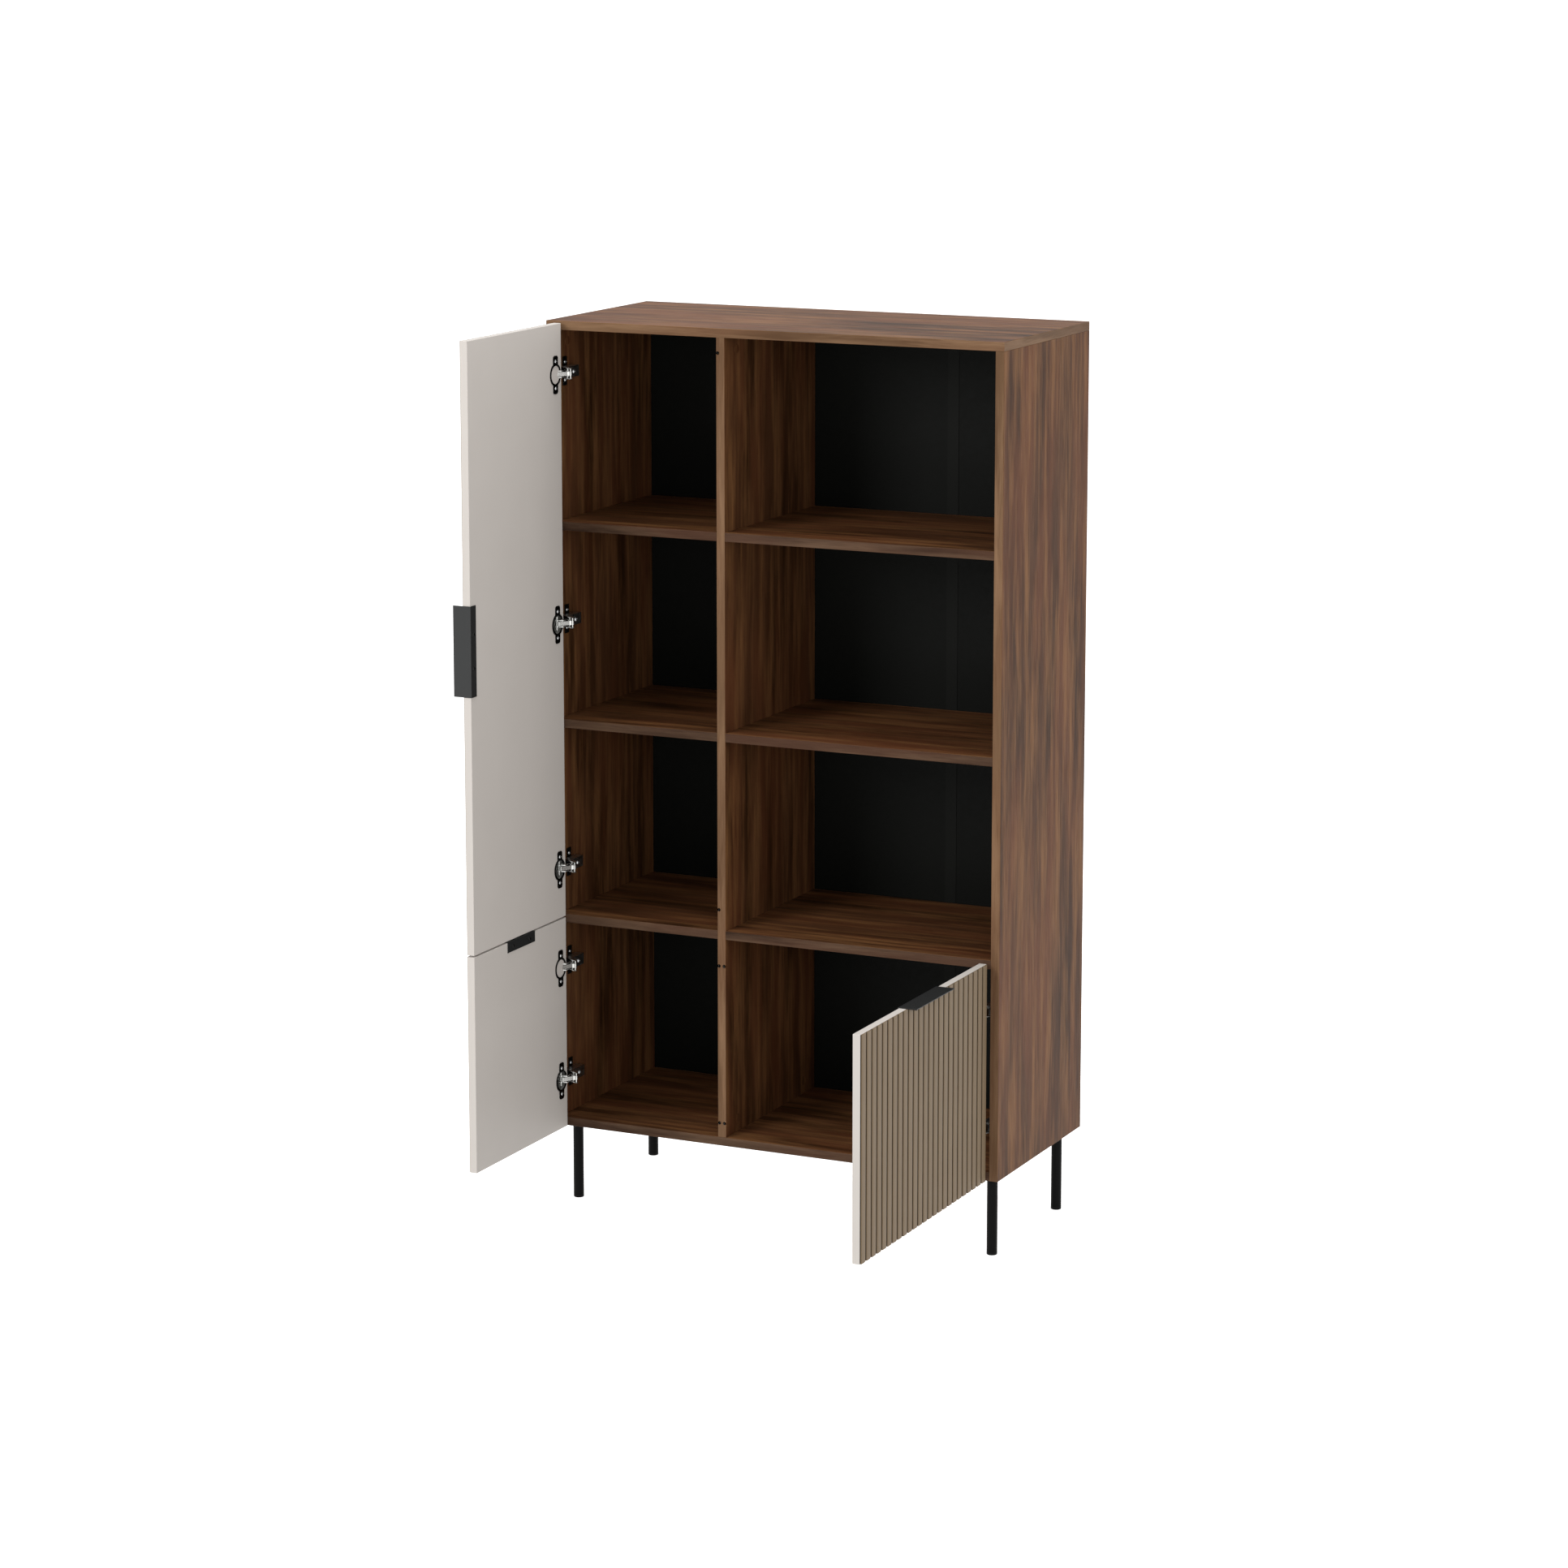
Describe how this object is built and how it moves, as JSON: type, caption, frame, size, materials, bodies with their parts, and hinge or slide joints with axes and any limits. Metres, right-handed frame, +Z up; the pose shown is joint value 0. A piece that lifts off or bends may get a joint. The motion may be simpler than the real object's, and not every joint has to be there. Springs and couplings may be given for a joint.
{
  "type": "cube storage unit",
  "caption": "Tall walnut-look storage unit on slim black legs: open cubes beside an off-centre divider, with ribbed beige doors on concealed hinges and black edge handles.",
  "frame": {"origin": "on the floor, at the centre of the box round the unit with its doors open at a right angle", "axes": "+Z up, +X to the right seen from the front, +Y towards the back"},
  "size_m": [0.88, 0.933, 1.621],
  "materials": {
    "walnut_board": "satin",
    "black_hardboard": "matte",
    "black_strip": "matte",
    "beige_front": "matte",
    "black_handle": "matte",
    "black_steel": "matte",
    "black_plastic": "matte",
    "dowel_beech": "matte",
    "black_hinge_steel": "satin",
    "nickel_steel": "satin",
    "clear_bumper": "matte",
    "zinc_cam": "matte",
    "black_screws": "satin",
    "zinc_screws": "satin"
  },
  "bodies": {
    "carcass": {"cam_locks": "zinc_cam", "cam_bolts": "zinc_screws", "wooden_dowels": "dowel_beech", "back_panel_left": "black_hardboard", "back_panel_middle": "black_hardboard", "back_panel_right": "black_hardboard", "back_screws": "zinc_screws", "back_joint_strip": "black_strip", "leg_front_left": "black_steel", "leg_front_right": "black_steel", "leg_back_left": "black_steel", "leg_back_right": "black_steel", "leg_plates": "black_steel", "leg_screws": "zinc_screws", "leg_glides": "black_plastic", "tall_door_hinge_arms": "nickel_steel", "tall_door_mounting_plates": "black_hinge_steel", "lower_left_door_hinge_arms": "nickel_steel", "lower_left_door_mounting_plates": "black_hinge_steel", "lower_right_door_hinge_arms": "nickel_steel", "lower_right_door_mounting_plates": "black_hinge_steel", "mounting_plate_screws": "zinc_screws", "arm_screws": "zinc_screws", "hinge_arm_pins": "nickel_steel", "door_bumpers": "clear_bumper", "top_panel": "walnut_board", "bottom_panel": "walnut_board", "left_side_panel": "walnut_board", "right_side_panel": "walnut_board", "centre_divider": "walnut_board", "left_shelf_lower": "walnut_board", "left_shelf_middle": "walnut_board", "left_shelf_upper": "walnut_board", "right_shelf_lower": "walnut_board", "right_shelf_middle": "walnut_board", "right_shelf_upper": "walnut_board"},
    "tall_door": {"tall_door_panel": "beige_front", "tall_door_handle": "black_handle", "tall_door_handle_screws": "black_screws", "tall_door_hinge_cups": "nickel_steel", "tall_door_cup_screws": "zinc_screws", "tall_door_cup_pins": "nickel_steel"},
    "tall_outer_links": {"tall_door_outer_links": "nickel_steel"},
    "tall_inner_links": {"tall_door_inner_links": "nickel_steel"},
    "lower_left_door": {"lower_left_door_panel": "beige_front", "lower_left_door_handle": "black_handle", "lower_left_door_handle_screws": "black_screws", "lower_left_door_hinge_cups": "nickel_steel", "lower_left_door_cup_screws": "zinc_screws", "lower_left_door_cup_pins": "nickel_steel"},
    "lower_left_outer_links": {"lower_left_door_outer_links": "nickel_steel"},
    "lower_left_inner_links": {"lower_left_door_inner_links": "nickel_steel"},
    "lower_right_door": {"lower_right_door_panel": "beige_front", "lower_right_door_handle": "black_handle", "lower_right_door_handle_screws": "black_screws", "lower_right_door_hinge_cups": "nickel_steel", "lower_right_door_cup_screws": "zinc_screws", "lower_right_door_cup_pins": "nickel_steel"},
    "lower_right_outer_links": {"lower_right_door_outer_links": "nickel_steel"},
    "lower_right_inner_links": {"lower_right_door_inner_links": "nickel_steel"}
  },
  "joints": [
    {"name": "tall_door_outer_link_pivot", "type": "hinge", "parent": "carcass", "child": "tall_outer_links", "pos_m": [-0.40141, 0.08053, 1.08], "axis": [0, 0, -1], "range_deg": [-2.35, 33.73]},
    {"name": "tall_door_swing", "type": "hinge", "parent": "tall_outer_links", "child": "tall_door", "pos_m": [-0.4125, 0.0535, 1.08], "axis": [0, 0, -1], "range_deg": [-123.23, 6.85]},
    {"name": "tall_door_inner_link_pivot", "type": "hinge", "parent": "carcass", "child": "tall_inner_links", "pos_m": [-0.39151, 0.07349, 1.08], "axis": [0, 0, -1], "range_deg": [-2.89, 43.49]},
    {"name": "lower_left_door_outer_link_pivot", "type": "hinge", "parent": "carcass", "child": "lower_left_outer_links", "pos_m": [-0.40141, 0.08053, 0.344], "axis": [0, 0, -1], "range_deg": [-2.35, 33.73]},
    {"name": "lower_left_door_swing", "type": "hinge", "parent": "lower_left_outer_links", "child": "lower_left_door", "pos_m": [-0.4125, 0.0535, 0.344], "axis": [0, 0, -1], "range_deg": [-123.23, 6.85]},
    {"name": "lower_left_door_inner_link_pivot", "type": "hinge", "parent": "carcass", "child": "lower_left_inner_links", "pos_m": [-0.39151, 0.07349, 0.344], "axis": [0, 0, -1], "range_deg": [-2.89, 43.49]},
    {"name": "lower_right_door_outer_link_pivot", "type": "hinge", "parent": "carcass", "child": "lower_right_outer_links", "pos_m": [0.40141, 0.08053, 0.344], "axis": [0, 0, 1], "range_deg": [-2.35, 33.73]},
    {"name": "lower_right_door_swing", "type": "hinge", "parent": "lower_right_outer_links", "child": "lower_right_door", "pos_m": [0.4125, 0.0535, 0.344], "axis": [0, 0, 1], "range_deg": [-123.23, 6.85]},
    {"name": "lower_right_door_inner_link_pivot", "type": "hinge", "parent": "carcass", "child": "lower_right_inner_links", "pos_m": [0.39151, 0.07349, 0.344], "axis": [0, 0, 1], "range_deg": [-2.89, 43.49]}
  ],
  "couplings": [
    {"joint": "tall_door_outer_link_pivot", "follows": "tall_door_swing", "ratio": -0.26966},
    {"joint": "tall_door_inner_link_pivot", "follows": "tall_door_swing", "ratio": -0.34882},
    {"joint": "lower_left_door_outer_link_pivot", "follows": "lower_left_door_swing", "ratio": -0.26966},
    {"joint": "lower_left_door_inner_link_pivot", "follows": "lower_left_door_swing", "ratio": -0.34882},
    {"joint": "lower_right_door_outer_link_pivot", "follows": "lower_right_door_swing", "ratio": -0.26966},
    {"joint": "lower_right_door_inner_link_pivot", "follows": "lower_right_door_swing", "ratio": -0.34882}
  ]
}
